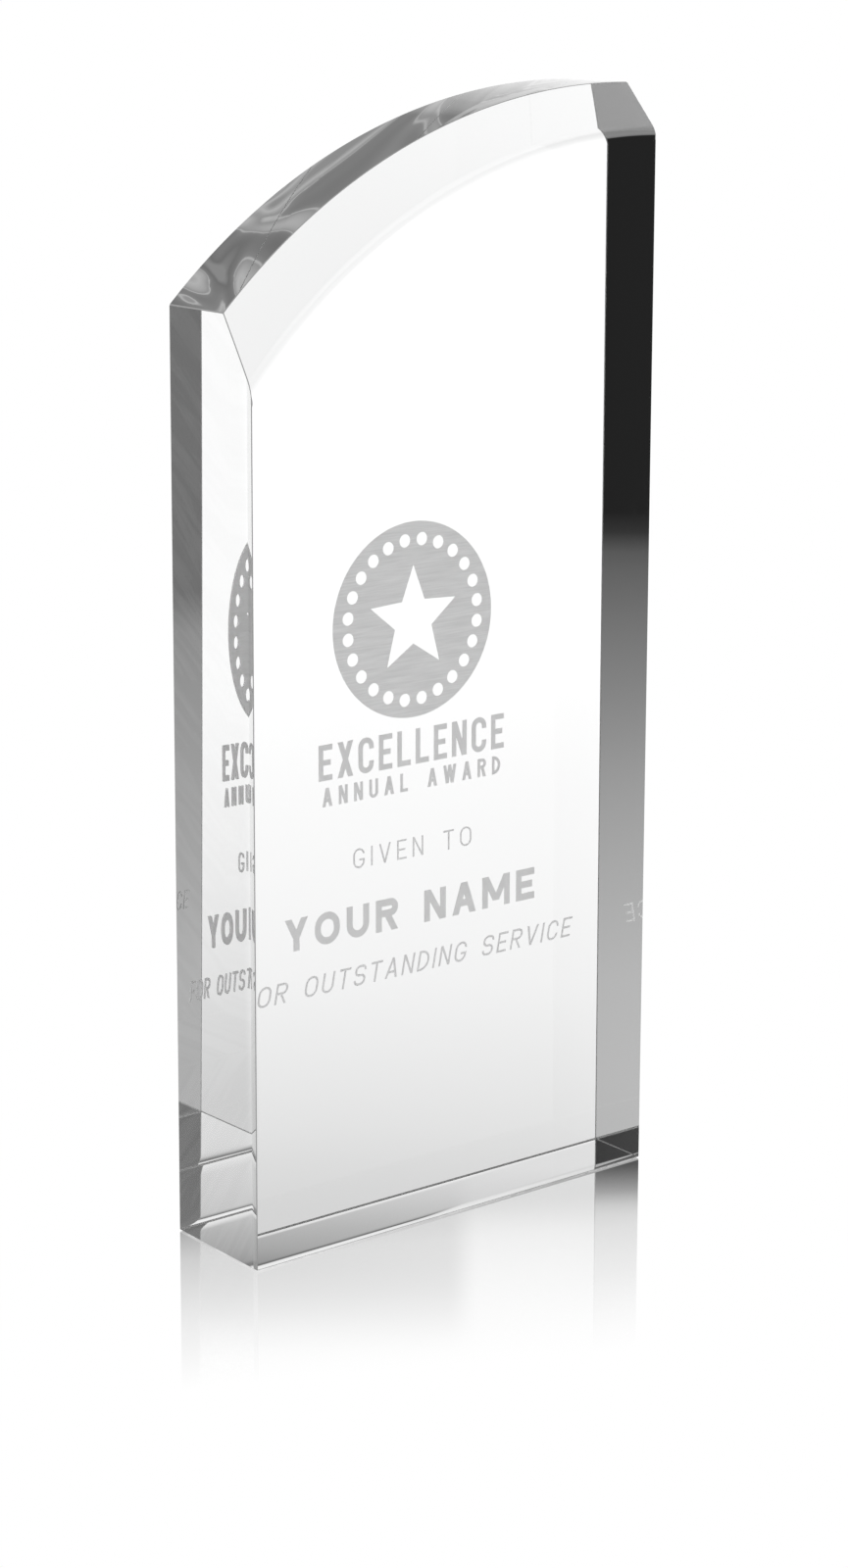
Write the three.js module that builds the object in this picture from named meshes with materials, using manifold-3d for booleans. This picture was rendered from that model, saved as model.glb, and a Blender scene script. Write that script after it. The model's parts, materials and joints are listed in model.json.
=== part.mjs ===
// Crystal award: a solid block of optical glass with an arched, front-bevelled top. A pierced
// silver medallion and five lines of silver lettering fill shallow recesses in its back face.
// Millimetres. X runs along the front, Y from front to back, Z up. The origin is on the table,
// under the middle of the block. The artwork is laid out as it reads from the front.
import * as THREE from "three";
import { mergeVertices } from "three/addons/utils/BufferGeometryUtils.js";
import Module from "manifold-3d";

// ---- Driving dimensions ----

// Block
const WIDTH = 112;
const THICKNESS = 30;
const HEIGHT = 254;
const ARC_RADIUS = 152;
const ARC_CENTRE_X = 52;
const BEVEL_DEPTH = 10;
const BEVEL_DROP = 10.5;
const BEVEL_BLEND_RADIUS = 5;
const ARC_SEGMENTS = 192;

// Recesses in the back face, and the silver in them
const RECESS_DEPTH = 0.6;
const INLAY_THICKNESS = 0.45;
const INLAY_CLEARANCE = 0.05;

// Medallion
const MEDALLION_CENTRE_Z = 135.5;
const MEDALLION_RADIUS = 22.5;
const MEDALLION_STEPS = 48;
const HOLE_COUNT = 24;
const HOLE_RADIUS = 1.45;
const HOLE_STEPS = 12;
const HOLE_CIRCLE_RADIUS = 18.4;
const STAR_POINTS = 5;
const STAR_TIP_RADIUS = 12.6;
const STAR_NOTCH_RADIUS = 5.4;

// Lettering. baseline, cap and width are the line's foot, its capitals' height and its length;
// pen is the stroke and set the width of an ordinary capital, both as a share of cap; slant is
// the lean to the right for each millimetre up.
const LINES = [
  {
    name: "title",
    text: "EXCELLENCE",
    baseline: 102,
    cap: 8.3,
    width: 53,
    pen: 0.165,
    set: 0.53,
    slant: 0,
  },
  {
    name: "subtitle",
    text: "ANNUAL AWARD",
    baseline: 96,
    cap: 4.4,
    width: 51,
    pen: 0.19,
    set: 0.58,
    slant: 0,
  },
  {
    name: "lead_in",
    text: "GIVEN TO",
    baseline: 80.3,
    cap: 4.7,
    width: 34,
    pen: 0.11,
    set: 0.66,
    slant: 0,
  },
  {
    name: "recipient",
    text: "YOUR NAME",
    baseline: 64.2,
    cap: 7.6,
    width: 72,
    pen: 0.23,
    set: 0.84,
    slant: 0,
  },
  {
    name: "citation",
    text: "FOR OUTSTANDING SERVICE",
    baseline: 52.8,
    cap: 4.8,
    width: 95,
    pen: 0.125,
    set: 0.68,
    slant: 0.2,
  },
];
// Widths of the capitals that aren't ordinary, as a share of an ordinary one, and of a space.
const WIDTH_SHARES = { A: 1.1, E: 0.88, F: 0.88, G: 1.05, L: 0.88, M: 1.3, O: 1.1, V: 1.1, W: 1.5 };
const SPACE_WIDTH = 0.5;
const CORNER_STEPS = 3;

// ---- Worked out from them ----

const BACK_Y = THICKNESS / 2;
const FRONT_Y = -THICKNESS / 2;
const ARC_CENTRE_Z = HEIGHT - ARC_RADIUS;
const RECESS_FLOOR_Y = BACK_Y - RECESS_DEPTH;

const wasm = await Module();
wasm.setup();

const crystal = new THREE.MeshStandardMaterial({
  name: "crystal",
  color: 0xeef3f4,
  roughness: 0.02,
  metalness: 0,
  transparent: true,
  opacity: 0.35,
});
const brushedSilver = new THREE.MeshStandardMaterial({
  name: "brushed_silver",
  color: 0xc6c6c6,
  roughness: 0.4,
  metalness: 1,
});
const silverFill = new THREE.MeshStandardMaterial({
  name: "silver_fill",
  color: 0xbebebc,
  roughness: 0.55,
  metalness: 0.6,
});

// ---- From three.js geometry to solids and back ----

function solidOf(geometry) {
  const plain = geometry.clone();
  plain.deleteAttribute("normal");
  plain.deleteAttribute("uv");
  const merged = mergeVertices(plain, 1e-4);
  const mesh = new wasm.Mesh({
    numProp: 3,
    vertProperties: new Float32Array(merged.getAttribute("position").array),
    triVerts: new Uint32Array(merged.index.array),
  });
  return new wasm.Manifold(mesh);
}

function geometryOf(solid) {
  const { vertProperties, triVerts } = solid.getMesh();
  const geometry = new THREE.BufferGeometry();
  geometry.setAttribute("position", new THREE.BufferAttribute(vertProperties, 3));
  geometry.setIndex(new THREE.BufferAttribute(triVerts, 1));
  geometry.computeVertexNormals();
  return geometry;
}

function box(low, high) {
  const size = high.map((value, axis) => value - low[axis]);
  const geometry = new THREE.BoxGeometry(...size);
  return geometry.translate(...low.map((value, axis) => value + size[axis] / 2));
}

function named(name, solid, material) {
  const mesh = new THREE.Mesh(geometryOf(solid), material);
  mesh.name = name;
  return mesh;
}

// A flat shape, drawn in X and Z as it reads from the front, given thickness along Y. It fills
// the recess from its floor backwards.
function slab(shape, thickness, place = (x, z) => [x, z]) {
  const geometry = new THREE.ExtrudeGeometry(shape, { depth: thickness, bevelEnabled: false });
  const position = geometry.getAttribute("position");
  for (let i = 0; i < position.count; i++) {
    const [x, z] = place(position.getX(i), position.getY(i));
    const y = RECESS_FLOOR_Y + thickness - position.getZ(i);
    position.setXYZ(i, x, y, z);
  }
  return solidOf(geometry);
}

// ---- Block ----

// Half of the block's section square to the arc, as radius and depth: the flat front, the blend
// into the bevel, the bevel, the arched top and the flat back.
function crownProfile() {
  const lean = Math.atan2(BEVEL_DEPTH, BEVEL_DROP);
  const tangent = BEVEL_BLEND_RADIUS * Math.tan(lean / 2);
  const blendStart = ARC_RADIUS - BEVEL_DROP - tangent;
  const points = [new THREE.Vector2(0, FRONT_Y)];
  for (let step = 0; step <= CORNER_STEPS; step++) {
    const turn = (lean * step) / CORNER_STEPS;
    const radius = blendStart + BEVEL_BLEND_RADIUS * Math.sin(turn);
    const depth = FRONT_Y + BEVEL_BLEND_RADIUS * (1 - Math.cos(turn));
    points.push(new THREE.Vector2(radius, depth));
  }
  points.push(new THREE.Vector2(ARC_RADIUS, FRONT_Y + BEVEL_DEPTH));
  points.push(new THREE.Vector2(ARC_RADIUS, BACK_Y));
  points.push(new THREE.Vector2(0, BACK_Y));
  return points;
}

function blankBlock() {
  const crown = new THREE.LatheGeometry(crownProfile(), ARC_SEGMENTS);
  crown.translate(ARC_CENTRE_X, 0, ARC_CENTRE_Z);
  const whole = box([-WIDTH / 2, FRONT_Y, 0], [WIDTH / 2, BACK_Y, HEIGHT]);
  const lower = box([-WIDTH / 2, FRONT_Y, 0], [WIDTH / 2, BACK_Y, HEIGHT / 2]);
  return solidOf(crown).intersect(solidOf(whole)).add(solidOf(lower));
}

// ---- Medallion ----

function circle(x, z, radius, steps) {
  const curve = new THREE.EllipseCurve(x, z, radius, radius);
  return curve.getPoints(steps).slice(0, steps);
}

// The disc with its ring of round holes and its star opening. With an inset the silver is drawn
// that much smaller than its recess all round, so the openings are larger.
function medallionShape(inset) {
  const rim = circle(0, MEDALLION_CENTRE_Z, MEDALLION_RADIUS - inset, MEDALLION_STEPS);
  const shape = new THREE.Shape(rim);
  for (let i = 0; i < HOLE_COUNT; i++) {
    const angle = (2 * Math.PI * (i + 0.5)) / HOLE_COUNT;
    const x = HOLE_CIRCLE_RADIUS * Math.cos(angle);
    const z = MEDALLION_CENTRE_Z + HOLE_CIRCLE_RADIUS * Math.sin(angle);
    shape.holes.push(new THREE.Path(circle(x, z, HOLE_RADIUS + inset, HOLE_STEPS)));
  }
  const star = new THREE.Path();
  for (let i = 0; i < 2 * STAR_POINTS; i++) {
    const radius = (i % 2 ? STAR_NOTCH_RADIUS : STAR_TIP_RADIUS) + inset;
    const angle = Math.PI / 2 - (Math.PI * i) / STAR_POINTS;
    const x = radius * Math.cos(angle);
    const z = MEDALLION_CENTRE_Z + radius * Math.sin(angle);
    if (i) star.lineTo(x, z);
    else star.moveTo(x, z);
  }
  star.closePath();
  shape.holes.push(star);
  return shape;
}

// ---- Lettering ----

// The strokes of one capital, in a cell w wide and h high with a pen t thick. Each stroke is
// drawn inset on every side, and its openings are that much larger.
function penOf(w, h, t, inset, place, thickness) {
  const solid = (points, holes = []) => {
    const shape = new THREE.Shape(points);
    shape.holes.push(...holes);
    return slab(shape, thickness, place);
  };
  const rectangle = (x0, z0, x1, z1) =>
    [
      [x0, z0],
      [x1, z0],
      [x1, z1],
      [x0, z1],
    ].map(([x, z]) => new THREE.Vector2(x, z));
  // A straight stroke along X or Z, from corner to corner.
  const bar = (x0, z0, x1, z1) =>
    solid(rectangle(x0 + inset, z0 + inset, x1 - inset, z1 - inset));
  // A leaning stroke with level ends: its left edge runs from (foot, z0) to (head, z1).
  const foot = t * 1.12;
  const lean = (x0, x1, z0, z1) => {
    const side = inset * Math.hypot(1, (x1 - x0) / (z1 - z0));
    const low = z0 + inset;
    const high = z1 - inset;
    const corners = [
      [x0 + side, low],
      [x0 + foot - side, low],
      [x1 + foot - side, high],
      [x1 + side, high],
    ];
    return solid(corners.map(([x, z]) => new THREE.Vector2(x, z)));
  };
  const rounded = (x0, z0, x1, z1, corner) => {
    const path = new THREE.Path();
    path.absarc(x1 - corner, z0 + corner, corner, -Math.PI / 2, 0);
    path.absarc(x1 - corner, z1 - corner, corner, 0, Math.PI / 2);
    path.absarc(x0 + corner, z1 - corner, corner, Math.PI / 2, Math.PI);
    path.absarc(x0 + corner, z0 + corner, corner, Math.PI, 1.5 * Math.PI);
    return path.getPoints(CORNER_STEPS);
  };
  // A bowl: a closed loop with round corners, opened where gap says.
  const loop = (x0, z0, x1, z1, gap) => {
    const corner = Math.min(x1 - x0, z1 - z0) / 2;
    const outer = rounded(x0 + inset, z0 + inset, x1 - inset, z1 - inset, corner - inset);
    const wall = t - inset;
    const inner = rounded(x0 + wall, z0 + wall, x1 - wall, z1 - wall, corner - wall);
    const ring = solid(outer, [new THREE.Path(inner)]);
    if (!gap) return ring;
    const [gx0, gz0, gx1, gz1] = gap;
    const opening = rectangle(gx0 - inset, gz0 - inset, gx1 + inset, gz1 + inset);
    return ring.subtract(solid(opening));
  };
  return { w, h, t, foot, bar, lean, loop };
}

// Each capital as its strokes. The bars of E, F, A and G, the waist of R and S and the mouths
// of C, G and S are shares of the capital's height or width.
const CAPITALS = {
  A: ({ w, h, t, foot, bar, lean }) => [
    lean(0, (w - foot) / 2, 0, h),
    lean(w - foot, (w - foot) / 2, 0, h),
    bar(w * 0.2, h * 0.24, w * 0.8, h * 0.24 + t),
  ],
  C: ({ w, h, loop }) => [loop(0, 0, w, h, [w / 2, h * 0.34, w * 2, h * 0.66])],
  D: ({ w, h, t, bar, loop }) => [bar(0, 0, t, h), loop(-w, 0, w, h, [-w * 2, -h, t / 2, h * 2])],
  E: ({ w, h, t, bar }) => [
    bar(0, 0, t, h),
    bar(0, 0, w, t),
    bar(0, (h - t) / 2, w * 0.88, (h + t) / 2),
    bar(0, h - t, w, h),
  ],
  F: ({ w, h, t, bar }) => [
    bar(0, 0, t, h),
    bar(0, (h - t) / 2, w * 0.88, (h + t) / 2),
    bar(0, h - t, w, h),
  ],
  G: ({ w, h, t, bar, loop }) => [
    loop(0, 0, w, h, [w / 2, h * 0.48, w * 2, h * 0.68]),
    bar(w * 0.52, h * 0.48 - t, w, h * 0.48),
  ],
  I: ({ h, t, bar }) => [bar(0, 0, t, h)],
  L: ({ w, h, t, bar }) => [bar(0, 0, t, h), bar(0, 0, w, t)],
  M: ({ w, h, t, foot, bar, lean }) => [
    bar(0, 0, t, h),
    bar(w - t, 0, w, h),
    lean((w - foot) / 2, 0, h * 0.2, h),
    lean((w - foot) / 2, w - foot, h * 0.2, h),
  ],
  N: ({ w, h, t, foot, bar, lean }) => [
    bar(0, 0, t, h),
    bar(w - t, 0, w, h),
    lean(w - foot, 0, 0, h),
  ],
  O: ({ w, h, loop }) => [loop(0, 0, w, h)],
  R: ({ w, h, t, foot, bar, lean, loop }) => [
    bar(0, 0, t, h),
    loop(-w, h * 0.44, w, h, [-w * 2, 0, t / 2, h * 2]),
    lean(w - foot, w * 0.35, 0, h * 0.44 + t / 2),
  ],
  S: ({ w, h, t, loop }) => [
    loop(0, (h - t) / 2, w, h, [w * 0.6, 0, w * 2, h * 0.72]),
    loop(0, 0, w, (h + t) / 2, [-w, h * 0.28, w * 0.4, h * 2]),
  ],
  T: ({ w, h, t, bar }) => [bar(0, h - t, w, h), bar((w - t) / 2, 0, (w + t) / 2, h)],
  U: ({ w, h, loop }) => [loop(0, 0, w, h + w, [-w, h, w * 2, h * 3])],
  V: ({ w, h, foot, lean }) => [
    lean((w - foot) / 2, 0, 0, h),
    lean((w - foot) / 2, w - foot, 0, h),
  ],
  W: ({ w, h, foot, lean }) => {
    const quarter = (w - foot) / 4;
    return [
      lean(quarter, 0, 0, h),
      lean(quarter, 2 * quarter, 0, h),
      lean(3 * quarter, 2 * quarter, 0, h),
      lean(3 * quarter, 4 * quarter, 0, h),
    ];
  },
  X: ({ w, h, foot, lean }) => [lean(0, w - foot, 0, h), lean(w - foot, 0, 0, h)],
  Y: ({ w, h, t, foot, bar, lean }) => [
    lean((w - foot) / 2, 0, h * 0.4, h),
    lean((w - foot) / 2, w - foot, h * 0.4, h),
    bar((w - t) / 2, 0, (w + t) / 2, h * 0.5),
  ],
};

function letterWidth(letter, line) {
  if (letter === " ") return SPACE_WIDTH * line.cap;
  if (letter === "I") return line.pen * line.cap;
  return line.set * line.cap * (WIDTH_SHARES[letter] ?? 1);
}

// The place of each letter of a line, spread evenly over the line's length about the middle.
function spread(line) {
  const letters = [...line.text];
  const widths = letters.map((letter) => letterWidth(letter, line));
  const total = widths.reduce((sum, width) => sum + width, 0);
  const tracking = (line.width - total) / (letters.length - 1);
  let x = -line.width / 2;
  return letters.map((letter, i) => {
    const place = { letter, x, width: widths[i] };
    x += widths[i] + tracking;
    return place;
  });
}

function letterSolid({ letter, x, width }, line, inset, thickness) {
  const place = (px, pz) => [x + px + line.slant * (pz - line.cap / 2), line.baseline + pz];
  const pen = penOf(width, line.cap, line.pen * line.cap, inset, place, thickness);
  const [first, ...others] = CAPITALS[letter](pen);
  return others.reduce((sum, stroke) => sum.add(stroke), first);
}

// ---- Assembly ----

const award = new THREE.Group();
award.name = "crystal_award";

let block = blankBlock().subtract(slab(medallionShape(0), RECESS_DEPTH));
award.add(
  named("medallion_inlay", slab(medallionShape(INLAY_CLEARANCE), INLAY_THICKNESS), brushedSilver),
);

for (const line of LINES) {
  const inlays = new THREE.Group();
  const letters = spread(line).filter(({ letter }) => letter !== " ");
  letters.forEach((item, i) => {
    block = block.subtract(letterSolid(item, line, 0, RECESS_DEPTH));
    const name = `${line.name}_${String(i + 1).padStart(2, "0")}_${item.letter}`;
    const inlay = letterSolid(item, line, INLAY_CLEARANCE, INLAY_THICKNESS);
    inlays.add(named(name, inlay, silverFill));
  });
  award.add(inlays);
}
award.add(named("crystal_block", block, crystal));

export default award;
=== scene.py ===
"""Crystal award: looks. A polished optical-glass block with silver-filled artwork in its back face.

Metres, in the CAD frame: X along the front, Y from front to back, Z up, origin on the table.
"""

import json
import math
from collections import namedtuple

import bpy
from mathutils import Matrix, Vector
from mathutils.geometry import tessellate_polygon

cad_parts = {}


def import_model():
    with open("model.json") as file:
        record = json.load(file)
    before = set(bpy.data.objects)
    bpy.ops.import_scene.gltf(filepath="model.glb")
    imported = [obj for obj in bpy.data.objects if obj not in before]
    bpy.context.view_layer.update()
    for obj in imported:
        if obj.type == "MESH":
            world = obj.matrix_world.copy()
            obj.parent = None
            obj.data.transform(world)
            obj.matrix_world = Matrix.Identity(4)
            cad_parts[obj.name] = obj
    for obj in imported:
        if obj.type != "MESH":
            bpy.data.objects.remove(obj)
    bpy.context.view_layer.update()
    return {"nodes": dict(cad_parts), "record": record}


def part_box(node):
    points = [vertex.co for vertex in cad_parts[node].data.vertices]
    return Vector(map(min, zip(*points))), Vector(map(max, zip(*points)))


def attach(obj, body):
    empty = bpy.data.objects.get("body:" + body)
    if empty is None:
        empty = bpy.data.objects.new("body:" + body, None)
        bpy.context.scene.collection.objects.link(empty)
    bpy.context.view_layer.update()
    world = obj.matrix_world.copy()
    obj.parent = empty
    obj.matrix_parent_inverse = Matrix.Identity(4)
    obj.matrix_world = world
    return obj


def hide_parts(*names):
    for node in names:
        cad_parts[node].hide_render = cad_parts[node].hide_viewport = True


MM = 0.001

# ---- The block, as in part.mjs ----
ARC_RADIUS = 152 * MM
ARC_CENTRE_X = 52 * MM
BEVEL_DEPTH = 10 * MM
BEVEL_DROP = 10.5 * MM
BEVEL_BLEND_RADIUS = 5 * MM

# ---- The block, finer than in part.mjs ----
# The arrises are ground: the toe is the base's front edge and the heel is its back edge.
ARRIS = 0.16 * MM
TOE_ARRIS = 0.25 * MM
HEEL_ARRIS = 0.22 * MM
# The base is polished a little hollow, so it turns down over this far towards its toe and heel.
TOE_TURN = 6 * MM
TOE_TURN_TILT = math.radians(2.5)
HEEL_TURN = 3.5 * MM
HEEL_TURN_TILT = math.radians(4.5)
TURN_STEPS = 6
# Polishing also rolls the left face over towards its front edge. This and the base's turns are in
# the shading normals only: the mesh stays flat.
EDGE_ROLL = 1.6 * MM
EDGE_ROLL_TILT = math.radians(8)
ARC_COLUMNS = 240
BLEND_STEPS = 16

# ---- The glass, and the painted glow that stands in for the light trapped in it ----
GLASS_IOR = 1.517
# Light is lost after this many bounces: in its place the surface shows a painted glow, a pattern of
# soft swirls.
GLASS_LOST_AFTER = 6
SILVER_LOST_AFTER = 4
# The painted swirls' brightness against a noise whose coordinates are slanted, to draw it out
# sideways.
PAINTED_SWIRLS = [
    (0.30, 0.24),
    (0.38, 0.14),
    (0.47, 0.18),
    (0.503, 0.22),
    (0.514, 0.46),
    (0.526, 0.28),
    (0.56, 0.36),
    (0.61, 0.46),
    (0.70, 0.26),
]
SWIRL_START = (0.09, 0.03, 0.3)
SWIRL_ALONG = (-2.5, 0.0, 3.75)
SWIRL_ACROSS = (0.31, 0.0, -1.1)
# The soft light that reaches the silver from all sides. The studio gives it, and the same
# brightness is painted as an even glow where light off the silver stays trapped in the block.
SILVER_FILL_LIGHT_AND_GLOW = 1.1

# ---- Camera ----
CAMERA_PLACE = Vector((-450.7, -570.2, 286.8)) * MM
CAMERA_YAW = math.radians(38.43)
CAMERA_PITCH = math.radians(-11.19)
CAMERA_ROLL = math.radians(0.2)
CAMERA_LENS = 76.0
CAMERA_SENSOR = 36.0
CAMERA_SHIFT_Y = -0.125


# ---- Nodes ----


class Nodes:
    """A short way to write shader nodes: each call adds one node and returns its output."""

    def __init__(self, tree):
        self.tree = tree
        tree.nodes.clear()

    def add(self, kind, inputs=None, **settings):
        node = self.tree.nodes.new(kind)
        for name, value in settings.items():
            setattr(node, name, value)
        for key, value in (inputs or {}).items():
            socket = node.inputs[key]
            if isinstance(value, bpy.types.NodeSocket):
                self.tree.links.new(value, socket)
            else:
                socket.default_value = value
        return node

    def math(self, operation, a, b=0.0):
        return self.add("ShaderNodeMath", {0: a, 1: b}, operation=operation).outputs[0]

    def dot(self, a, b):
        node = self.add("ShaderNodeVectorMath", {0: a, 1: b}, operation="DOT_PRODUCT")
        return node.outputs["Value"]

    def ramp(self, value, low, high, stops):
        """value, from low to high, looked up in stops of (value, grey)."""
        part = self.add("ShaderNodeMapRange", {"Value": value, "From Min": low, "From Max": high})
        node = self.add("ShaderNodeValToRGB", {"Fac": part.outputs["Result"]})
        elements = node.color_ramp.elements
        for element, (at, grey) in zip(elements, (stops[0], stops[-1])):
            element.position = (at - low) / (high - low)
            element.color = (grey, grey, grey, 1)
        for at, grey in stops[1:-1]:
            elements.new((at - low) / (high - low)).color = (grey, grey, grey, 1)
        return node.outputs["Color"]

    def mix(self, factor, a, b):
        node = self.add("ShaderNodeMix", {0: factor, 2: a, 3: b}, data_type="FLOAT")
        return node.outputs[0]


# ---- Materials ----


def with_painted_trapped_glow(n, shader, after):
    """The shader, but once a ray has bounced this many times the surface glows instead with a
    painted pattern of soft swirls: painted light in place of the light trapped in the block. Where
    the ray came off the silver the painted glow is brighter and even: it stands for light from all
    sides.
    Depths are whole numbers, so they are compared with halves."""
    place = n.add("ShaderNodeTexCoord").outputs["Object"]
    slanted = n.add(
        "ShaderNodeCombineXYZ",
        {0: n.dot(place, SWIRL_ALONG), 1: n.dot(place, SWIRL_ACROSS)},
    )
    moved = n.add(
        "ShaderNodeVectorMath",
        {0: slanted.outputs[0], 1: SWIRL_START},
        operation="ADD",
    )
    swirl = n.add(
        "ShaderNodeTexNoise",
        {"Vector": moved.outputs[0], "Scale": 48.0, "Detail": 0.8, "Distortion": 1.2},
    )
    pattern = n.ramp(swirl.outputs["Fac"], PAINTED_SWIRLS[0][0], PAINTED_SWIRLS[-1][0], PAINTED_SWIRLS)
    path = n.add("ShaderNodeLightPath").outputs
    on_silver = n.math("GREATER_THAN", path["Diffuse Depth"], 0.5)
    # For rays off the silver the painted glow is the silver's even fill brightness instead of swirls.
    glow = n.mix(on_silver, pattern, SILVER_FILL_LIGHT_AND_GLOW)
    # Painted light: the surface emits this glow, though it is no lamp.
    trapped = n.add("ShaderNodeEmission", {"Color": glow, "Strength": 1.0})
    deep = n.math("GREATER_THAN", path["Ray Depth"], after - 0.5)
    return n.add("ShaderNodeMixShader", {0: deep, 1: shader.outputs[0], 2: trapped.outputs[0]})


def glass_material():
    """Polished optical crystal: clear, with a faint waviness left by the polishing wheel."""
    material = bpy.data.materials.new("crystal")
    material.use_nodes = True
    n = Nodes(material.node_tree)
    place = n.add("ShaderNodeTexCoord").outputs["Object"]
    waves = n.add("ShaderNodeTexNoise", {"Vector": place, "Scale": 28.0, "Detail": 1.5})
    bump = n.add(
        "ShaderNodeBump",
        {"Height": waves.outputs["Fac"], "Strength": 0.01, "Distance": 0.0002},
    )
    clarity = n.add("ShaderNodeTexNoise", {"Vector": place, "Scale": 9.0, "Detail": 2.0})
    tint = n.add(
        "ShaderNodeMix",
        {0: clarity.outputs["Fac"], 6: (0.992, 0.996, 0.995, 1), 7: (1, 1, 1, 1)},
        data_type="RGBA",
    )
    shader = n.add(
        "ShaderNodeBsdfPrincipled",
        {
            "Base Color": tint.outputs[2],
            "Roughness": 0.0,
            "IOR": GLASS_IOR,
            "Transmission Weight": 1.0,
            "Normal": bump.outputs["Normal"],
        },
    )
    # Past GLASS_LOST_AFTER bounces the glass shows the painted swirl glow in place of light.
    block = with_painted_trapped_glow(n, shader, GLASS_LOST_AFTER)
    # The arrises are ground, not polished, and so show as fine grey lines.
    ground = n.add("ShaderNodeAttribute", attribute_name="ground").outputs["Fac"]
    grey = n.add("ShaderNodeBsdfDiffuse", {"Color": (0.3, 0.3, 0.3, 1)})
    both = n.add("ShaderNodeMixShader", {0: ground, 1: block.outputs[0], 2: grey.outputs[0]})
    n.add("ShaderNodeOutputMaterial", {"Surface": both.outputs[0]})
    return material


def with_dull_gloss(n, shader, bump):
    """The shader, but seen along the surface the silver flakes' darker gloss takes over."""
    weight = n.add("ShaderNodeLayerWeight", {"Blend": 0.5, "Normal": bump.outputs["Normal"]})
    gloss = n.add(
        "ShaderNodeBsdfGlossy",
        {"Color": (0.3, 0.3, 0.3, 1), "Roughness": 0.5, "Normal": bump.outputs["Normal"]},
    )
    stops = [(0.0, 0.0), (0.14, 0.0), (0.5, 0.55), (1.0, 0.7)]
    share = n.ramp(weight.outputs["Facing"], 0.0, 1.0, stops)
    return n.add("ShaderNodeMixShader", {0: share, 1: shader.outputs[0], 2: gloss.outputs[0]})


def brushed_silver_material():
    """Silver fill brushed from side to side: long fine streaks along X."""
    material = bpy.data.materials.new("brushed_silver")
    material.use_nodes = True
    n = Nodes(material.node_tree)
    place = n.add("ShaderNodeTexCoord").outputs["Object"]

    def streaks(along, across, detail):
        stretched = n.add("ShaderNodeMapping", {"Vector": place, "Scale": (along, 1.0, across)})
        noise = n.add(
            "ShaderNodeTexNoise",
            {"Vector": stretched.outputs[0], "Scale": 1.0, "Detail": detail, "Roughness": 0.6},
        )
        return noise.outputs["Fac"]

    fine = streaks(110.0, 2600.0, 3.0)
    broad = streaks(60.0, 900.0, 2.0)
    grain = n.math("ADD", n.math("MULTIPLY", fine, 0.65), n.math("MULTIPLY", broad, 0.35))
    colour = n.ramp(grain, 0.35, 0.65, [(0.35, 0.81), (0.5, 0.885), (0.65, 0.96)])
    rough = n.ramp(grain, 0.3, 0.7, [(0.3, 0.62), (0.7, 0.46)])
    bump = n.add("ShaderNodeBump", {"Height": grain, "Strength": 0.25, "Distance": 0.00005})
    shader = n.add(
        "ShaderNodeBsdfPrincipled",
        {
            "Base Color": colour,
            "Metallic": 0.15,
            "Roughness": rough,
            "Anisotropic": 0.4,
            "Normal": bump.outputs["Normal"],
        },
    )
    # Past SILVER_LOST_AFTER bounces the silver shows the painted glow in place of light.
    seen = with_painted_trapped_glow(n, with_dull_gloss(n, shader, bump), SILVER_LOST_AFTER)
    n.add("ShaderNodeOutputMaterial", {"Surface": seen.outputs[0]})
    return material


def silver_fill_material():
    """Silver colour fill over the sandblasted floor of a recess: matt, finely grained."""
    material = bpy.data.materials.new("silver_fill")
    material.use_nodes = True
    n = Nodes(material.node_tree)
    place = n.add("ShaderNodeTexCoord").outputs["Object"]
    grain = n.add("ShaderNodeTexNoise", {"Vector": place, "Scale": 2400.0, "Detail": 2.0})
    cloud = n.add("ShaderNodeTexNoise", {"Vector": place, "Scale": 160.0, "Detail": 2.0})
    both = n.math(
        "ADD",
        n.math("MULTIPLY", grain.outputs["Fac"], 0.5),
        n.math("MULTIPLY", cloud.outputs["Fac"], 0.5),
    )
    colour = n.ramp(both, 0.3, 0.7, [(0.3, 0.82), (0.7, 0.90)])
    bump = n.add(
        "ShaderNodeBump",
        {"Height": grain.outputs["Fac"], "Strength": 0.3, "Distance": 0.00004},
    )
    shader = n.add(
        "ShaderNodeBsdfPrincipled",
        {
            "Base Color": colour,
            "Metallic": 0.1,
            "Roughness": 0.6,
            "Normal": bump.outputs["Normal"],
        },
    )
    # Past SILVER_LOST_AFTER bounces the silver shows the painted glow in place of light.
    seen = with_painted_trapped_glow(n, with_dull_gloss(n, shader, bump), SILVER_LOST_AFTER)
    n.add("ShaderNodeOutputMaterial", {"Surface": seen.outputs[0]})
    return material


# ---- The block ----


Section = namedtuple("Section", "y side_inset base_inset radius tilt_before tilt_after")
# A section as a ring of vertices, with its distances from the front and back faces.
Ring = namedtuple("Ring", "toe heel tilt_before tilt_after radial first_vertex")
# An outline's points: two on the base, two on the right side, the arc's, two on the left side.
ARC_START = 4
OUTLINE_POINTS = ARC_START + (ARC_COLUMNS + 1) + 2
# Where the base's, the right side's and the left side's points start.
BASE, RIGHT, LEFT = 0, 2, OUTLINE_POINTS - 2


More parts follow.
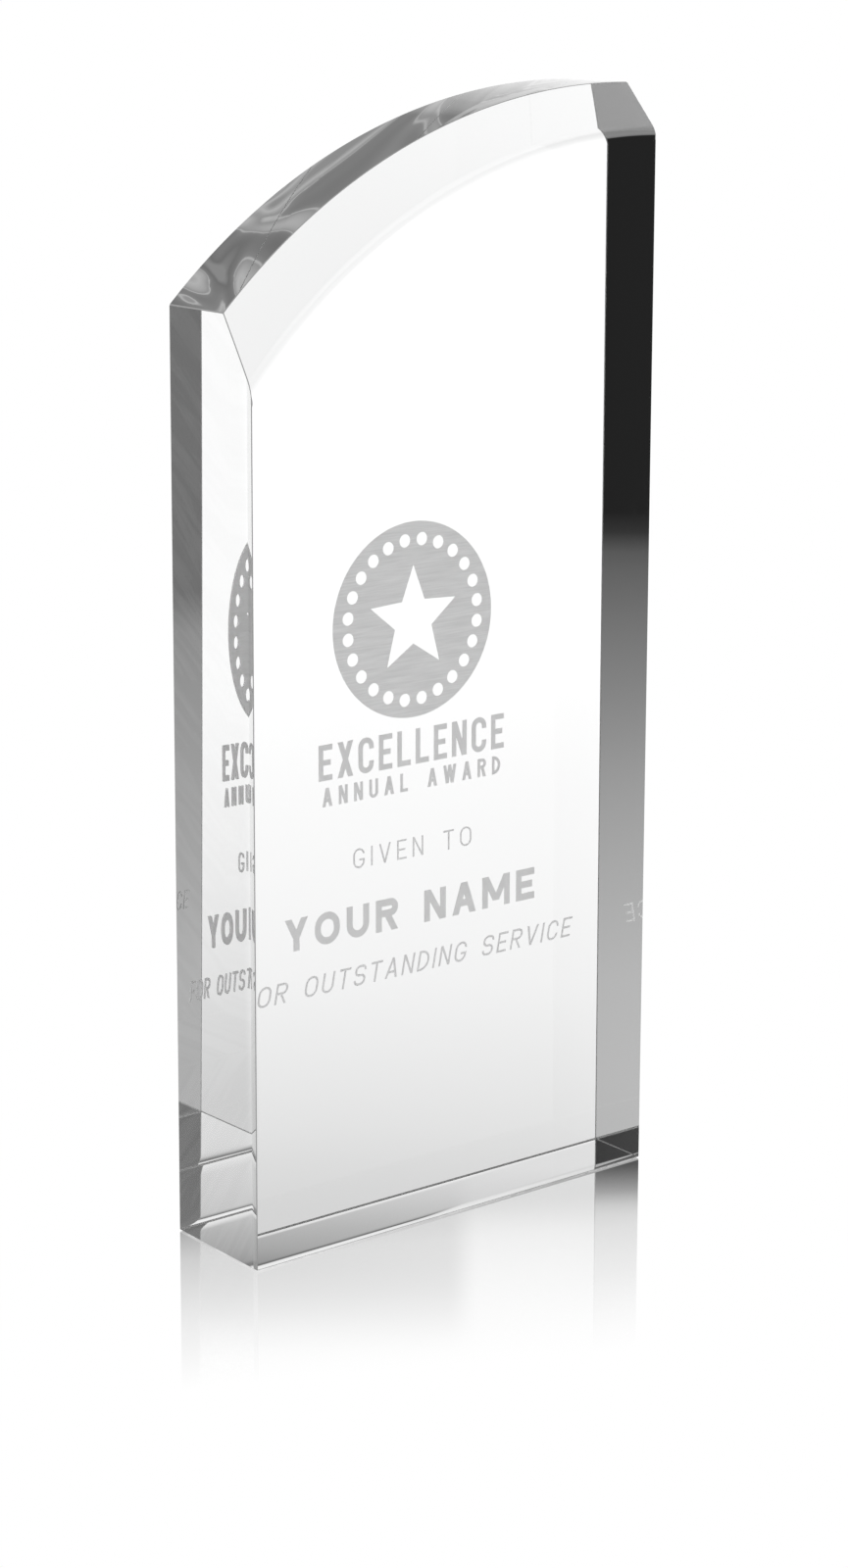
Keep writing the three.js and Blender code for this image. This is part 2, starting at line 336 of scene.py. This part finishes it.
def sections():
    """The block's sections from front to back. A tilt is the lean of the arched surface's outward
    normal towards the front: it may change at a section, so each has one before and one after."""
    low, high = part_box("crystal_block")
    front, back = low.y, high.y
    lean = math.atan2(BEVEL_DEPTH, BEVEL_DROP)
    blend_start = ARC_RADIUS - BEVEL_DROP - BEVEL_BLEND_RADIUS * math.tan(lean / 2)
    turns = [lean * i / BLEND_STEPS for i in range(BLEND_STEPS + 1)]
    turns += [math.acos(1 - arris / BEVEL_BLEND_RADIUS) for arris in (ARRIS, TOE_ARRIS)]
    turns.sort()
    made = []

    def section(y, radius, before, after):
        side = max(0.0, ARRIS - (y - front), ARRIS - (back - y))
        base = max(0.0, TOE_ARRIS - (y - front), HEEL_ARRIS - (back - y))
        made.append(Section(y, side, base, radius, before, after))

    for turn in turns:
        rise = BEVEL_BLEND_RADIUS * (1 - math.cos(turn))
        normal = math.pi / 2 - turn
        section(front + rise, blend_start + BEVEL_BLEND_RADIUS * math.sin(turn), normal, normal)
    edge = front + BEVEL_DEPTH
    bevel = math.pi / 2 - lean
    depths = [ARRIS + EDGE_ROLL]
    depths += [TOE_ARRIS + TOE_TURN * step / TURN_STEPS for step in range(1, TURN_STEPS + 1)]
    for depth in sorted(depths):
        if front + depth > made[-1].y:
            radius = ARC_RADIUS - (BEVEL_DEPTH - depth) * BEVEL_DROP / BEVEL_DEPTH
            section(front + depth, radius, bevel, bevel)
    shoulder = Vector((math.sin(lean), math.cos(lean))) * ARRIS
    section(edge - shoulder.x, ARC_RADIUS - shoulder.y, bevel, bevel / 2)
    section(edge + ARRIS, ARC_RADIUS, bevel / 2, 0)
    for step in reversed(range(TURN_STEPS + 1)):
        section(back - HEEL_ARRIS - HEEL_TURN * step / TURN_STEPS, ARC_RADIUS, 0, 0)
    section(back - ARRIS, ARC_RADIUS, 0, -math.pi / 4)
    section(back, ARC_RADIUS - ARRIS, -math.pi / 4, 0)
    return made


def outline(half_width, centre_z, section):
    """The block's outline in X and Z at one section, anticlockwise from the bottom left, and the
    directions from the arc's centre to its points."""
    side = half_width - section.side_inset
    base = section.base_inset
    radius = section.radius

    def arc(x):
        return centre_z + math.sqrt(radius**2 - (x - ARC_CENTRE_X) ** 2)

    first = math.asin((side - ARRIS - ARC_CENTRE_X) / radius)
    last = math.asin((-side + ARRIS - ARC_CENTRE_X) / radius)
    radial = []
    for i in range(ARC_COLUMNS + 1):
        angle = first + (last - first) * i / ARC_COLUMNS
        radial.append(Vector((math.sin(angle), math.cos(angle))))
    points = [
        Vector((-side + ARRIS, base)),
        Vector((side - ARRIS, base)),
        Vector((side, base + ARRIS)),
        Vector((side, arc(side) - ARRIS)),
    ]
    points += [Vector((ARC_CENTRE_X, centre_z)) + radius * direction for direction in radial]
    points.append(Vector((-side, arc(-side) - ARRIS)))
    points.append(Vector((-side, base + ARRIS)))
    return points, radial


def tilted(direction, tilt):
    """An arc's outward direction in X and Z, leant towards the front."""
    flat = math.cos(tilt)
    return Vector((direction.x * flat, -math.sin(tilt), direction.y * flat))


def edge_roll(ring):
    """The left face's normal at a ring."""
    turn = EDGE_ROLL_TILT * max(0.0, 1 - max(0.0, ring.toe - ARRIS) / EDGE_ROLL)
    return Vector((-math.cos(turn), -math.sin(turn), 0))


def base_turn(ring):
    """The base's normal at a ring."""
    near = max(0.0, 1 - max(0.0, ring.toe - TOE_ARRIS) / TOE_TURN)
    far = max(0.0, 1 - max(0.0, ring.heel - HEEL_ARRIS) / HEEL_TURN)
    turn = TOE_TURN_TILT * near**2 - HEEL_TURN_TILT * far**2
    return Vector((0, math.sin(turn), -math.cos(turn)))


def block_rings():
    """The block's sections as rings from front to back, and all of their vertices."""
    low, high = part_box("crystal_block")
    half_width = (high.x - low.x) / 2
    centre_z = high.z - ARC_RADIUS
    rings, vertices = [], []
    for section in sections():
        points, radial = outline(half_width, centre_z, section)
        rings.append(
            Ring(
                toe=section.y - low.y,
                heel=high.y - section.y,
                tilt_before=section.tilt_before,
                tilt_after=section.tilt_after,
                radial=radial,
                first_vertex=len(vertices),
            )
        )
        vertices += [Vector((point.x, section.y, point.y)) for point in points]
    return rings, vertices


def band(near, far, vertices):
    """The faces between two rings, each with the normals at its corners and whether it's ground."""
    toe, heel = (near.toe + far.toe) / 2, (near.heel + far.heel) / 2
    on_rim = min(toe, heel) < ARRIS
    on_toe_or_heel = toe < TOE_ARRIS or heel < HEEL_ARRIS
    on_shoulder = near.tilt_before != near.tilt_after and far.tilt_before != far.tilt_after
    for i in range(OUTLINE_POINTS):
        j = (i + 1) % OUTLINE_POINTS
        corners = ((near, i), (far, i), (far, j), (near, j))
        face = tuple(ring.first_vertex + point for ring, point in corners)
        column = i - ARC_START
        if 0 <= column < ARC_COLUMNS:
            normals = [
                tilted(near.radial[column], near.tilt_after),
                tilted(far.radial[column], far.tilt_before),
                tilted(far.radial[column + 1], far.tilt_before),
                tilted(near.radial[column + 1], near.tilt_after),
            ]
            yield face, normals, heel < ARRIS or on_shoulder
        elif i == BASE and not on_toe_or_heel:
            before, after = base_turn(near), base_turn(far)
            yield face, [before, after, after, before], False
        elif i == LEFT:
            before, after = edge_roll(near), edge_roll(far)
            yield face, [before, after, after, before], on_rim
        else:
            a, b, c, d = (vertices[index] for index in face)
            flat = (c - a).cross(d - b).normalized()
            yield face, [flat] * 4, on_rim or i != RIGHT


def crystal_block(material):
    """The whole block as one closed mesh, with exact normals on its curved faces. The faces of
    the fine arrises are marked as ground glass."""
    rings, vertices = block_rings()
    faces, normals, ground = [], [], []
    for near, far in zip(rings, rings[1:]):
        for face, corner_normals, is_ground in band(near, far, vertices):
            faces.append(face)
            normals += corner_normals
            ground.append(float(is_ground))
    faces.append(tuple(range(OUTLINE_POINTS)))
    normals += [Vector((0, -1, 0))] * OUTLINE_POINTS
    faces.append(tuple(rings[-1].first_vertex + i for i in reversed(range(OUTLINE_POINTS))))
    normals += [Vector((0, 1, 0))] * OUTLINE_POINTS
    ground += [0.0, 0.0]
    mesh = bpy.data.meshes.new("crystal")
    mesh.from_pydata(vertices, [], faces)
    mesh.polygons.foreach_set("use_smooth", [True] * len(faces))
    mesh.normals_split_custom_set(normals)
    mesh.attributes.new("ground", "FLOAT", "FACE").data.foreach_set("value", ground)
    mesh.materials.append(material)
    block = bpy.data.objects.new("crystal", mesh)
    bpy.context.collection.objects.link(block)
    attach(block, "root")
    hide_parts("crystal_block")
    return block


# ---- Silver ----

SILVER_COAT = 0.1 * MM
# Where a chord belongs to a curve: how sharply it may turn, how long it may be, and how much
# longer than its neighbour it has to be for a straight side that runs into the curve.
CORNER_TURN = math.radians(40)
SHORT_SIDE = 3.2 * MM
LEAD_IN_RATIO = 2.2
CURVE_STEPS = 6
NEARLY_STRAIGHT = 1e-3
PLACE_GRID = 1e-7
SLIVER_AREA = 1e-14


def outlines(node):
    """The closed outlines of a flat inlay's front face, in X and Z."""
    mesh = frame["nodes"][node].data
    place, after = {}, {}
    seen = set()
    for face in mesh.polygons:
        if face.normal.y > -0.9:
            continue
        corners = []
        for index in face.vertices:
            point = mesh.vertices[index].co
            key = tuple(round(value / PLACE_GRID) for value in point)
            place[key] = Vector((point.x, point.z))
            corners.append(key)
        seen.update(zip(corners, corners[1:] + corners[:1]))
    for a, b in seen:
        if (b, a) not in seen:
            after[a] = b
    loops = []
    while after:
        at = min(after)
        loop = []
        while at in after:
            loop.append(place[at])
            at = after.pop(at)
        loops.append(loop)
    return loops


def smoothed(loop):
    """A loop of chords turned back into the curve that they stand for. A side is part of a curve
    if it is short and meets both its neighbours at a shallow angle; corners stay sharp."""
    count = len(loop)
    sides = [loop[(i + 1) % count] - loop[i] for i in range(count)]
    tangents = []
    for i in range(count):
        before, here = sides[i - 1], sides[i]
        turn = before.angle(here)
        both_long = min(before.length, here.length) > SHORT_SIDE
        if turn > CORNER_TURN or both_long:
            tangents.append(None)
        elif before.length > LEAD_IN_RATIO * here.length:
            tangents.append(before.normalized())
        elif here.length > LEAD_IN_RATIO * before.length:
            tangents.append(here.normalized())
        else:
            tangents.append((before.normalized() + here.normalized()).normalized())
    points = []
    for i in range(count):
        start, end = loop[i], loop[(i + 1) % count]
        leave, arrive = tangents[i], tangents[(i + 1) % count]
        points.append(start)
        if leave is None or arrive is None or sides[i].length > SHORT_SIDE:
            continue
        if leave.angle(arrive) < NEARLY_STRAIGHT:
            continue
        reach = sides[i].length
        for step in range(1, CURVE_STEPS):
            t = step / CURVE_STEPS
            points.append(
                start * (2 * t**3 - 3 * t**2 + 1)
                + leave * reach * (t**3 - 2 * t**2 + t)
                + end * (3 * t**2 - 2 * t**3)
                + arrive * reach * (t**3 - t**2)
            )
    return points


def inlay(node, material):
    """A flat silver inlay with smooth outlines, at the back of its CAD node's place."""
    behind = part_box(node)[1].y
    front = behind - SILVER_COAT
    loops = [smoothed(loop) for loop in outlines(node)]
    rounds = [[point.to_3d() for point in loop] for loop in loops]
    flat = [point for loop in rounds for point in loop]
    total = len(flat)
    vertices = [(p.x, front, p.y) for p in flat] + [(p.x, behind, p.y) for p in flat]
    faces = []
    for a, b, c in tessellate_polygon(rounds):
        turn = (flat[b] - flat[a]).cross(flat[c] - flat[a]).z
        if abs(turn) < SLIVER_AREA:
            continue
        if turn < 0:
            b, c = c, b
        faces.append((a, b, c))
        faces.append((total + a, total + c, total + b))
    start = 0
    for loop in loops:
        count = len(loop)
        for i in range(count):
            a, b = start + i, start + (i + 1) % count
            faces.append((a, total + a, total + b, b))
        start += count
    name = node + "_silver"
    mesh = bpy.data.meshes.new(name)
    mesh.from_pydata(vertices, [], faces)
    mesh.materials.append(material)
    piece = bpy.data.objects.new(name, mesh)
    bpy.context.collection.objects.link(piece)
    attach(piece, "root")
    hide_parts(node)
    return piece


# ---- Studio ----

CRYSTAL_BOUNCES = 40
SILVER_BOUNCES = 4
FLOOR_SIZE = 400.0
FLOOR_GAP = 0.2 * MM
FLOOR_POLISH = 0.03
# The floor's share of mirror against the distance in mm from the block's middle towards SHEEN_SIDE.
SHEEN_SIDE = Vector((0.447, 0.894))
SHEEN = [
    (-94, 0.0),
    (-85, 0.05),
    (-75, 0.11),
    (-63, 0.18),
    (-45, 0.31),
    (-29, 0.44),
    (-16, 0.63),
    (-8, 0.78),
    (8, 0.93),
    (11, 0.93),
    (24, 0.6),
    (45, 0.5),
]
# It also fades out between these distances from the block's foot.
SHEEN_REACH = (45 * MM, 105 * MM)

# Brightness of the studio against elevation in degrees, for each sector of azimuth.
LOWEST = -45
HIGHEST = 45
# A hood over the top of the studio: dark above the walls, with a bright ceiling in its middle.
HOOD = [(23, 0.3), (38, 0.3), (45, 2.0)]
ELSEWHERE = [(-45, 0.88), (-21, 0.88), (-13, 1.0), (13, 1.0), (20, 0.8)] + HOOD
# Behind the block the wall is bright and fades towards the table and the hood.
BEHIND_LOW = [
    (-45, 0.6),
    (-22, 0.70),
    (-21.3, 0.735),
    (-20.3, 0.82),
    (-19.6, 0.86),
    (-17.9, 0.95),
    (-16.3, 1.0),
    (-14.6, 1.04),
    (-12, 1.13),
    (11, 1.13),
    (13, 1.07),
    (20.4, 0.80),
    (21.1, 0.79),
]
BEHIND = BEHIND_LOW + [
    (21.9, 0.56),
    (22.3, 0.44),
    (22.65, 0.36),
    (23.0, 0.15),
    (23.6, 0.12),
    (24.4, 0.9),
    (45, 0.95),
]
BEHIND_FAR = BEHIND_LOW + [(21.75, 0.66), (22.2, 0.78), (24, 0.86), (45, 0.88)]
BEHIND_LEFT_LOW = [
    (-45, 0.6),
    (-20, 0.62),
    (-19.3, 0.66),
    (-17.9, 0.78),
    (-16.2, 0.88),
    (-13, 1.02),
    (13, 1.02),
    (20.6, 0.72),
    (21.3, 0.64),
    (21.8, 0.57),
]
BEHIND_LEFT = BEHIND_LEFT_LOW + [
    (22.1, 0.46),
    (22.35, 0.37),
    (22.65, 0.34),
    (23.0, 0.1),
    (23.6, 0.1),
    (24.4, 0.95),
    (45, 0.95),
]
BEHIND_FOLD = BEHIND_LEFT_LOW + HOOD
BEHIND_RIGHT = [(-45, 0.93), (-21, 0.93), (-13, 1.0), (13, 1.0), (20, 0.8)] + HOOD
# What shows through the block seen straight from the front or from its right.
STRAIGHT = [(-45, 0.7), (-16, 0.74), (-12, 0.78), (-4, 0.88), (3, 0.95), (13, 0.95), (20, 0.8)] + HOOD
# The flags are dark cloths that draw the crystal's edges.
BLACK_FLAG = [
    (-45, 0.95),
    (-25, 0.75),
    (-21, 0.49),
    (-19.6, 0.495),
    (-17.9, 0.475),
    (-16.3, 0.41),
    (-14.6, 0.33),
    (-12.9, 0.228),
    (-10.6, 0.115),
    (-10.1, 0.012),
    (21.3, 0.012),
    (21.8, 0.48),
    (24.2, 0.33),
    (24.8, 0.05),
    (45, 0.1),
]
EDGE_FLAG = [
    (-45, 0.17),
    (-29, 0.19),
    (-24, 0.22),
    (-14, 0.26),
    (-11.5, 0.2),
    (-10.3, 0.012),
    (21, 0.012),
    (38, 0.3),
    (45, 2.0),
]
LOW_FLAG = [(-45, 0.17), (-29, 0.17), (-25, 0.6), (-18, 0.9), (30, 0.9), (45, 2.0)]
GREY_FLAG = [
    (-45, 0.6),
    (-19.6, 0.39),
    (-17.9, 0.40),
    (-16.2, 0.34),
    (-14.6, 0.30),
    (-12, 0.21),
    (-11.7, 0.16),
    (-11.3, 0.085),
    (18, 0.09),
    (26, 0.12),
    (38, 0.3),
    (45, 2.0),
]
SIDE = [(-45, 0.6), (-20, 0.6), (-10, 0.9), (35, 0.9), (45, 2.0)]
SIDE_FLAG = [(-45, 0.9), (-15, 0.8), (-12, 0.4), (-10.5, 0.1), (28, 0.1), (38, 0.3), (45, 2.0)]
# The room behind the camera is dark.
DARK_ROOM = [(-45, 0.6), (-27, 0.6), (-23, 0.1), (-15, 0.015), (25, 0.015), (32, 0.3), (45, 2.0)]
# Each sector: its middle, half of its full width, the width of its soft edge, its brightness.
# Azimuth runs from behind the block towards its right, and a sector covers those before it.
SECTORS = [
    (0.0, 12.0, 8.0, STRAIGHT),
    (-90.0, 12.0, 8.0, STRAIGHT),
    (28.3, 4.8, 0.3, BEHIND_FOLD),
    (34.5, 1.0, 0.3, BEHIND_LEFT),
    (41.0, 5.5, 0.3, BEHIND),
    (43.0, 3.5, 0.6, BEHIND_FAR),
    (53.5, 4.0, 9.0, BEHIND_RIGHT),
    (-56.0, 7.0, 3.0, LOW_FLAG),
    (-43.5, 4.5, 3.0, BLACK_FLAG),
    (-47.0, 4.0, 0.4, EDGE_FLAG),
    (117.0, 12.0, 3.0, SIDE),
    (134.0, 5.0, 2.0, SIDE_FLAG),
    (145.5, 6.0, 2.0, GREY_FLAG),
    (-139.0, 36.0, 8.0, DARK_ROOM),
]


def world():
    """The studio seen in and through the crystal. The camera itself, and the floor's first
    reflection, see a plain white sweep. The silver gets the same soft light from all sides."""
    made = bpy.data.worlds.new("studio")
    bpy.context.scene.world = made
    made.use_nodes = True
    made.cycles.sampling_method = "NONE"
    n = Nodes(made.node_tree)
    direction = n.add("ShaderNodeTexCoord").outputs["Generated"]
    parts = n.add("ShaderNodeSeparateXYZ", {0: direction}).outputs
    elevation = n.math("DEGREES", n.math("ARCSINE", parts[2]))
    azimuth = n.math("DEGREES", n.math("ARCTAN2", parts[0], parts[1]))
    light = n.ramp(elevation, LOWEST, HIGHEST, ELSEWHERE)
    for centre, half_width, edge, stops in SECTORS:
        away = n.math("ABSOLUTE", n.math("SUBTRACT", azimuth, centre))
        share = n.add(
            "ShaderNodeMapRange",
            {
                "Value": away,
                "From Min": half_width,
                "From Max": half_width + edge,
                "To Min": 1.0,
                "To Max": 0.0,
            },
            interpolation_type="SMOOTHSTEP",
        )
        sector = n.ramp(elevation, LOWEST, HIGHEST, stops)
        light = n.mix(share.outputs["Result"], light, sector)
    path = n.add("ShaderNodeLightPath").outputs
    soft_gloss = n.math("GREATER_THAN", path["Is Glossy Ray"], path["Is Singular Ray"])
    off_floor = n.math("MULTIPLY", soft_gloss, n.math("LESS_THAN", path["Ray Depth"], 2.5))
    plain = n.math("MAXIMUM", path["Is Camera Ray"], off_floor)
    on_silver = n.math("GREATER_THAN", path["Diffuse Depth"], 0.5)
    shown = n.mix(plain, n.mix(on_silver, light, SILVER_FILL_LIGHT_AND_GLOW), 1.0)
    background = n.add("ShaderNodeBackground", {"Color": shown, "Strength": 1.0})
    n.add("ShaderNodeOutputWorld", {"Surface": background.outputs[0]})


def floor():
    """A plain white floor with a soft mirror sheen that fades away from the block's foot."""
    mesh = bpy.data.meshes.new("floor")
    half = FLOOR_SIZE / 2
    corners = [(-half, -half), (half, -half), (half, half), (-half, half)]
    mesh.from_pydata([(x, y, -FLOOR_GAP) for x, y in corners], [], [(0, 1, 2, 3)])
    ground = bpy.data.objects.new("floor", mesh)
    bpy.context.collection.objects.link(ground)
    ground.visible_diffuse = False
    ground.visible_transmission = False
    ground.visible_glossy = False
    ground.visible_shadow = False
    material = bpy.data.materials.new("floor")
    material.use_nodes = True
    mesh.materials.append(material)
    n = Nodes(material.node_tree)
    low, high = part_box("crystal_block")
    place = n.add("ShaderNodeNewGeometry").outputs["Position"]
    parts = n.add("ShaderNodeSeparateXYZ", {0: place}).outputs
    beyond = []
    for axis in (0, 1):
        centre = (low[axis] + high[axis]) / 2
        half_side = (high[axis] - low[axis]) / 2
        away = n.math("ABSOLUTE", n.math("SUBTRACT", parts[axis], centre))
        past = n.math("MAXIMUM", n.math("SUBTRACT", away, half_side), 0.0)
        beyond.append(n.math("MULTIPLY", past, past))
    distance = n.math("SQRT", n.math("ADD", *beyond))
    reach = n.add(
        "ShaderNodeMapRange",
        {
            "Value": distance,
            "From Min": SHEEN_REACH[0],
            "From Max": SHEEN_REACH[1],
            "To Min": 1.0,
            "To Max": 0.0,
        },
        interpolation_type="SMOOTHSTEP",
    )
    towards = n.math(
        "ADD",
        n.math("MULTIPLY", parts[0], SHEEN_SIDE.x / MM),
        n.math("MULTIPLY", parts[1], SHEEN_SIDE.y / MM),
    )
    fade = n.ramp(towards, SHEEN[0][0], SHEEN[-1][0], SHEEN)
    sheen = n.math("MULTIPLY", fade, reach.outputs["Result"])
    white = n.add("ShaderNodeEmission", {"Color": (1, 1, 1, 1), "Strength": 1.0})
    gloss = n.add("ShaderNodeBsdfGlossy", {"Color": (1, 1, 1, 1), "Roughness": FLOOR_POLISH})
    both = n.add("ShaderNodeMixShader", {0: sheen, 1: white.outputs[0], 2: gloss.outputs[0]})
    n.add("ShaderNodeOutputMaterial", {"Surface": both.outputs[0]})


def camera():
    data = bpy.data.cameras.new("camera")
    data.lens = CAMERA_LENS
    data.sensor_width = CAMERA_SENSOR
    data.shift_y = CAMERA_SHIFT_Y
    data.clip_start = 0.01
    data.clip_end = 1000.0
    made = bpy.data.objects.new("camera", data)
    bpy.context.collection.objects.link(made)
    turn = Matrix.Rotation(-CAMERA_YAW, 4, "Z")
    tip = Matrix.Rotation(math.pi / 2 + CAMERA_PITCH, 4, "X")
    roll = Matrix.Rotation(CAMERA_ROLL, 4, "Z")
    made.matrix_world = Matrix.Translation(CAMERA_PLACE) @ turn @ tip @ roll
    bpy.context.scene.camera = made


def render_settings():
    """Light crosses the block many times before it leaves, and white is shown as white."""
    scene = bpy.context.scene
    scene.view_settings.view_transform = "Standard"
    scene.cycles.max_bounces = CRYSTAL_BOUNCES
    scene.cycles.transmission_bounces = CRYSTAL_BOUNCES
    scene.cycles.glossy_bounces = CRYSTAL_BOUNCES
    scene.cycles.diffuse_bounces = SILVER_BOUNCES


# ---- Scene ----

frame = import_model()

crystal_block(glass_material())
silver = {
    "brushed_silver": brushed_silver_material(),
    "silver_fill": silver_fill_material(),
}
for part in frame["record"]["subparts"]:
    if part["material_slot"] in silver:
        inlay(part["node"], silver[part["material_slot"]])

world()
floor()
camera()
render_settings()
